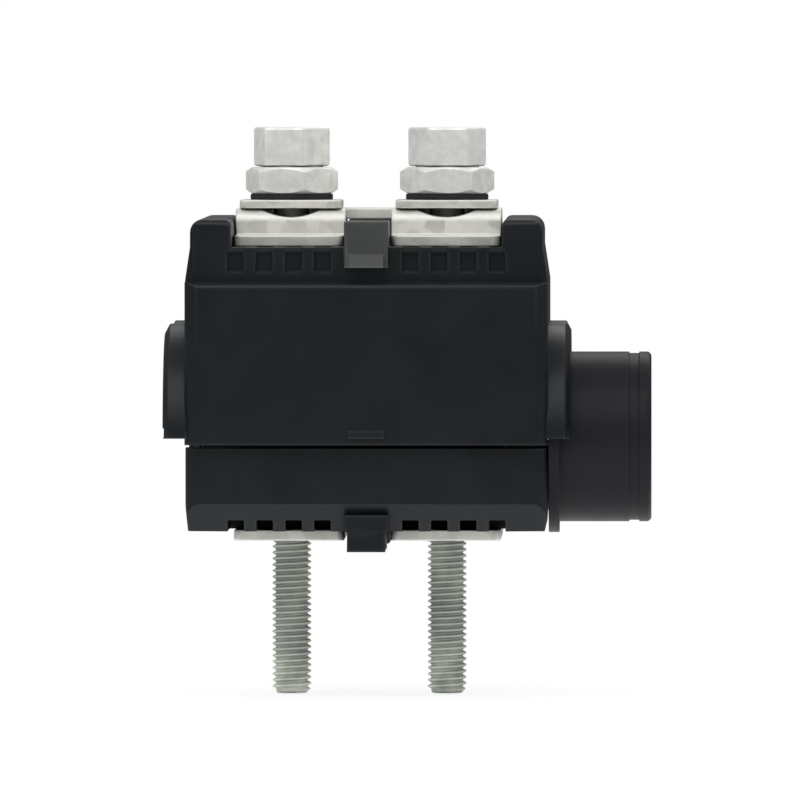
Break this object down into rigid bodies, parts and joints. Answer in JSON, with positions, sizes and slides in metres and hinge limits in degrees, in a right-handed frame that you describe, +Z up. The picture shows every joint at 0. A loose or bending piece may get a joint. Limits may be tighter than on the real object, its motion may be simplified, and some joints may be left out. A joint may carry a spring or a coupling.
{
  "type": "insulation piercing connector",
  "caption": "Clamp connector of black moulded halves drawn together by shear-head bolts, with toothed contact blades that pierce the insulation of a main and a tap cable, and an end cap.",
  "frame": {"origin": "on the main conductor's axis, half way along the housings", "axes": "+X along the conductors towards the end cap, +Z up towards the bolt heads, -Y towards the tap conductor"},
  "size_m": [0.0996, 0.0912, 0.1165],
  "materials": {
    "moulded_plastic": "glass-filled black polyamide, satin as moulded",
    "galvanised_steel": "dull galvanised sheet",
    "zinc_bolt": "bright zinc plating",
    "washer_rubber": "black rubber",
    "gasket_rubber": "soft black rubber",
    "cap_rubber": "smooth black rubber",
    "tinned_copper": "tinned copper"
  },
  "bodies": {
    "upper_half": {"upper_housing": "moulded_plastic", "pressure_plate": "galvanised_steel", "square_washer_left": "galvanised_steel", "round_washer_left": "washer_rubber", "upper_blade_left": "tinned_copper", "upper_gasket_left": "gasket_rubber", "square_washer_right": "galvanised_steel", "round_washer_right": "washer_rubber", "upper_blade_right": "tinned_copper", "upper_gasket_right": "gasket_rubber"},
    "lower_half": {"lower_housing": "moulded_plastic", "lower_plate_left": "galvanised_steel", "nut_left": "zinc_bolt", "lower_blade_left": "tinned_copper", "lower_gasket_left": "gasket_rubber", "lower_plate_right": "galvanised_steel", "nut_right": "zinc_bolt", "lower_blade_right": "tinned_copper", "lower_gasket_right": "gasket_rubber"},
    "bolt_left": {"shear_bolt_left": "zinc_bolt"},
    "bolt_right": {"shear_bolt_right": "zinc_bolt"},
    "cap": {"end_cap": "cap_rubber"}
  },
  "joints": [
    {"name": "bolt_left_turn", "type": "hinge", "parent": "upper_half", "child": "bolt_left", "pos_m": [-0.016, -0.0205, 0.05], "axis": [0, 0, -1], "range_deg": [-8064, 1008]},
    {"name": "bolt_right_turn", "type": "hinge", "parent": "upper_half", "child": "bolt_right", "pos_m": [0.016, -0.0205, 0.05], "axis": [0, 0, -1], "range_deg": [-8064, 1008]},
    {"name": "clamp_slide", "type": "slide", "parent": "upper_half", "child": "lower_half", "axis": [0, 0, 1], "range_m": [-0.028, 0.0035]},
    {"name": "cap_slide", "type": "slide", "parent": "upper_half", "child": "cap", "axis": [0, 0, -1], "range_m": [0, 0.02]}
  ],
  "couplings": [
    {"joint": "bolt_left_turn", "follows": "clamp_slide", "rad_per_m": 5026.6},
    {"joint": "bolt_right_turn", "follows": "clamp_slide", "rad_per_m": 5026.6}
  ]
}
